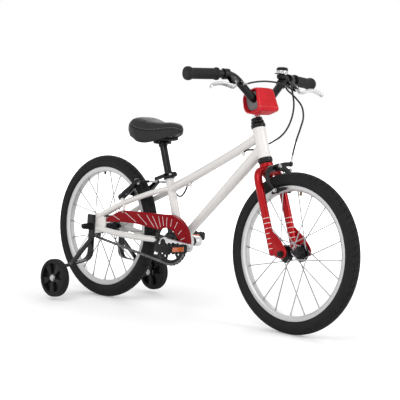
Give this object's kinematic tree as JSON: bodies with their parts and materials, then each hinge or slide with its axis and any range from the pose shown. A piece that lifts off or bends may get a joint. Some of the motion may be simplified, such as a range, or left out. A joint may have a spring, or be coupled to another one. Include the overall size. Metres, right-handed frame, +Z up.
{
  "type": "kids bike with stabilisers",
  "caption": "Small-wheeled children's bicycle with stabiliser wheels, rim brakes, padded handlebar, full chainguard and sprung bell.",
  "frame": {"origin": "on the ground, midway between the two wheels' contacts and on the bike's middle plane", "axes": "+X forwards, from the rear wheel to the front wheel; +Y to the rider's left; +Z up"},
  "size_m": [1.202, 0.5218, 0.722],
  "materials": {
    "rubber_tyre": "matt black rubber",
    "black_rubber": "matt black rubber",
    "hard_black_plastic": "satin black plastic",
    "black_housing": "satin black cable housing",
    "black_vinyl": "black vinyl with a side seam",
    "red_vinyl": "bright red padded cloth",
    "pearl_paint": "pearl white gloss paint",
    "red_paint": "candy red gloss paint",
    "dark_red_plastic": "dark red plastic with fine white lines",
    "black_paint": "satin black paint",
    "rim_aluminium": "brushed silver aluminium",
    "silver_aluminium": "satin silver aluminium",
    "bell_chrome": "polished chrome",
    "dark_steel": "oiled dark steel"
  },
  "bodies": {
    "frame": {"head_tube": "pearl_paint", "top_tube": "pearl_paint", "down_tube": "pearl_paint", "seat_tube": "pearl_paint", "bottom_bracket_shell": "pearl_paint", "bottom_bracket_bearings": "dark_steel", "chain_stay_right": "pearl_paint", "chain_stay_left": "pearl_paint", "seat_stay_right": "pearl_paint", "seat_stay_left": "pearl_paint", "upper_headset_cup": "dark_steel", "lower_headset_cup": "dark_steel", "seat_clamp_collar": "black_paint", "chainguard": "dark_red_plastic", "rear_axle": "black_paint", "stabiliser_arm_right": "black_paint", "stabiliser_arm_left": "black_paint", "rear_brake_cable": "black_housing", "chain": "dark_steel"},
    "steering": {"fork": "red_paint", "headset_top_nut": "dark_steel", "stem": "silver_aluminium", "handlebar": "black_paint", "handlebar_pad": "red_vinyl", "grip_right": "black_rubber", "grip_left": "black_rubber", "lever_bracket_right": "hard_black_plastic", "lever_bracket_left": "hard_black_plastic", "bell_base": "hard_black_plastic", "bell_dome": "bell_chrome", "front_axle": "dark_steel", "front_brake_cable": "black_housing", "rear_brake_cable_front": "black_housing"},
    "front_wheel": {"front_tyre": "rubber_tyre", "front_rim": "rim_aluminium", "front_hub_and_spokes": "black_paint"},
    "rear_wheel": {"rear_tyre": "rubber_tyre", "rear_rim": "rim_aluminium", "rear_hub_and_spokes": "black_paint"},
    "freewheel": {"freewheel_cog": "dark_steel"},
    "crank": {"chainring": "black_paint", "crank_spindle": "dark_steel", "crank_arm_right": "silver_aluminium", "crank_arm_left": "silver_aluminium"},
    "pedal_right": {"pedal_right": "hard_black_plastic"},
    "pedal_left": {"pedal_left": "hard_black_plastic"},
    "brake_lever_right": {"brake_lever_right": "silver_aluminium"},
    "brake_lever_left": {"brake_lever_left": "silver_aluminium"},
    "front_brake_arm_right": {"front_brake_arm_right": "black_paint"},
    "front_brake_arm_left": {"front_brake_arm_left": "black_paint"},
    "rear_brake_arm_right": {"rear_brake_arm_right": "black_paint"},
    "rear_brake_arm_left": {"rear_brake_arm_left": "black_paint"},
    "bell_thumb_lever": {"bell_thumb_lever": "hard_black_plastic"},
    "seatpost": {"seatpost": "black_paint", "saddle": "black_vinyl", "saddle_clamp": "dark_steel"},
    "seat_clamp_lever": {"seat_clamp_lever": "black_paint"},
    "stabiliser_wheel_right": {"stabiliser_wheel_right": "hard_black_plastic"},
    "stabiliser_wheel_left": {"stabiliser_wheel_left": "hard_black_plastic"}
  },
  "joints": [
    {"name": "steering", "type": "hinge", "parent": "frame", "child": "steering", "pos_m": [0.35143, 0, 0.20735], "axis": [-0.342, 0, 0.9397], "range_deg": [-65, 65], "deforming": ["rear_brake_cable_front"]},
    {"name": "front_wheel_spin", "type": "hinge", "parent": "steering", "child": "front_wheel", "pos_m": [0.3815, 0, 0.2183], "axis": [0, 1, 0], "continuous": true},
    {"name": "rear_wheel_spin", "type": "hinge", "parent": "frame", "child": "rear_wheel", "pos_m": [-0.3815, 0, 0.2183], "axis": [0, 1, 0], "continuous": true},
    {"name": "crank_spin", "type": "hinge", "parent": "frame", "child": "crank", "pos_m": [-0.0515, 0, 0.2035], "axis": [0, 1, 0], "continuous": true},
    {"name": "freewheel_spin", "type": "hinge", "parent": "frame", "child": "freewheel", "pos_m": [-0.3815, 0, 0.2183], "axis": [0, 1, 0], "continuous": true},
    {"name": "pedal_right_spin", "type": "hinge", "parent": "crank", "child": "pedal_right", "pos_m": [0.0494, -0.138, 0.19909], "axis": [0, 1, 0], "continuous": true},
    {"name": "pedal_left_spin", "type": "hinge", "parent": "crank", "child": "pedal_left", "pos_m": [-0.1524, 0.138, 0.20791], "axis": [0, 1, 0], "continuous": true},
    {"name": "brake_lever_right_pull", "type": "hinge", "parent": "steering", "child": "brake_lever_right", "pos_m": [0.24502, -0.12598, 0.66363], "axis": [-0.6391, 0, -0.7691], "range_deg": [0, 22], "stiffness_Nm_per_rad": 1, "springref_deg": -17.19},
    {"name": "brake_lever_left_pull", "type": "hinge", "parent": "steering", "child": "brake_lever_left", "pos_m": [0.24502, 0.12598, 0.66363], "axis": [0.6391, 0, 0.7691], "range_deg": [0, 22], "stiffness_Nm_per_rad": 1, "springref_deg": -17.19},
    {"name": "front_brake_arm_right_swing", "type": "hinge", "parent": "steering", "child": "front_brake_arm_right", "pos_m": [0.30223, 0, 0.44485], "axis": [0.9397, 0, 0.342], "range_deg": [0, 0.9]},
    {"name": "front_brake_arm_left_swing", "type": "hinge", "parent": "steering", "child": "front_brake_arm_left", "pos_m": [0.30223, 0, 0.44485], "axis": [0.9397, 0, 0.342], "range_deg": [-0.9, 0]},
    {"name": "rear_brake_arm_right_swing", "type": "hinge", "parent": "frame", "child": "rear_brake_arm_right", "pos_m": [-0.2698, -0.048, 0.3167], "axis": [-0.6494, 0, 0.7604], "range_deg": [0, 2]},
    {"name": "rear_brake_arm_left_swing", "type": "hinge", "parent": "frame", "child": "rear_brake_arm_left", "pos_m": [-0.2698, 0.048, 0.3167], "axis": [-0.6494, 0, 0.7604], "range_deg": [-2, 0]},
    {"name": "bell_lever_push", "type": "hinge", "parent": "steering", "child": "bell_thumb_lever", "pos_m": [0.2206, 0.0913, 0.7025], "axis": [0, 0, 1], "range_deg": [0, 25], "stiffness_Nm_per_rad": 0.05, "springref_deg": -17.19},
    {"name": "seatpost_slide", "type": "slide", "parent": "frame", "child": "seatpost", "axis": [-0.3338, 0, 0.9426], "range_m": [-0.045, 0.06]},
    {"name": "seat_clamp_lever_swing", "type": "hinge", "parent": "frame", "child": "seat_clamp_lever", "pos_m": [-0.09907, -0.0155, 0.39776], "axis": [-0.3338, 0, 0.9426], "range_deg": [0, 150]},
    {"name": "stabiliser_wheel_right_spin", "type": "hinge", "parent": "frame", "child": "stabiliser_wheel_right", "pos_m": [-0.3749, -0.2033, 0.066], "axis": [0, 1, 0], "continuous": true},
    {"name": "stabiliser_wheel_left_spin", "type": "hinge", "parent": "frame", "child": "stabiliser_wheel_left", "pos_m": [-0.3749, 0.2033, 0.066], "axis": [0, 1, 0], "continuous": true}
  ],
  "couplings": [
    {"joint": "freewheel_spin", "follows": "crank_spin", "ratio": 2},
    {"joint": "front_brake_arm_right_swing", "follows": "brake_lever_left_pull", "ratio": 0.04},
    {"joint": "front_brake_arm_left_swing", "follows": "brake_lever_left_pull", "ratio": -0.04},
    {"joint": "rear_brake_arm_right_swing", "follows": "brake_lever_right_pull", "ratio": 0.09},
    {"joint": "rear_brake_arm_left_swing", "follows": "brake_lever_right_pull", "ratio": -0.09}
  ]
}
